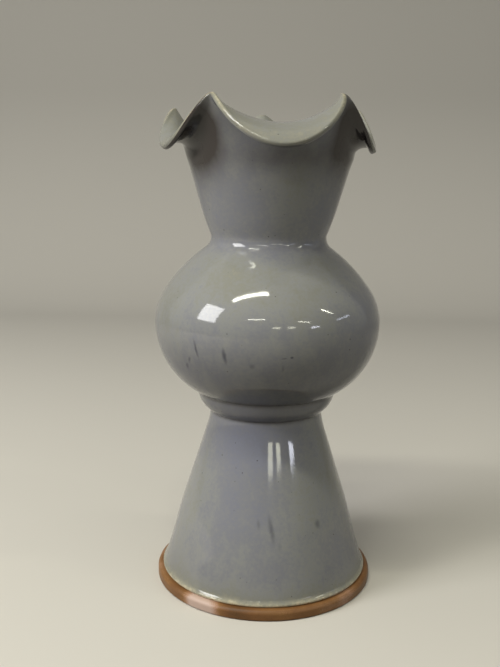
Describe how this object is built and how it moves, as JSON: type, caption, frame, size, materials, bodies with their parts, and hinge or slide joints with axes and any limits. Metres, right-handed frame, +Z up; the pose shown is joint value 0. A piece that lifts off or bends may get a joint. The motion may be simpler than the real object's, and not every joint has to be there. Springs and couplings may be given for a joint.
{
  "type": "stem vase",
  "caption": "Tall stoneware vase with a flared hollow pedestal, a round belly and a trumpet neck with a rim folded out in wavy lobes.",
  "frame": {"origin": "centre of the circle that the foot ring stands on", "axes": "+Z up along the vase's axis, -Y to the front where the widest lobe of the rim is, +X to the right seen from the front"},
  "size_m": [0.162, 0.1746, 0.3493],
  "materials": {
    "glaze": "thick glossy grey-blue glaze on stoneware",
    "rim_glaze": "glossy grey-blue glaze that breaks to pale olive over the rim",
    "bare_stoneware": "bare, turned orange-brown stoneware, satin",
    "slip_clay": "fired joining slip, matt"
  },
  "bodies": {
    "root": {"foot_ring": "bare_stoneware", "foot_slip": "slip_clay", "pedestal": "glaze", "waist_slip": "slip_clay", "collar": "glaze", "belly_slip": "slip_clay", "belly": "glaze", "neck_slip": "slip_clay", "neck": "rim_glaze"}
  },
  "joints": []
}
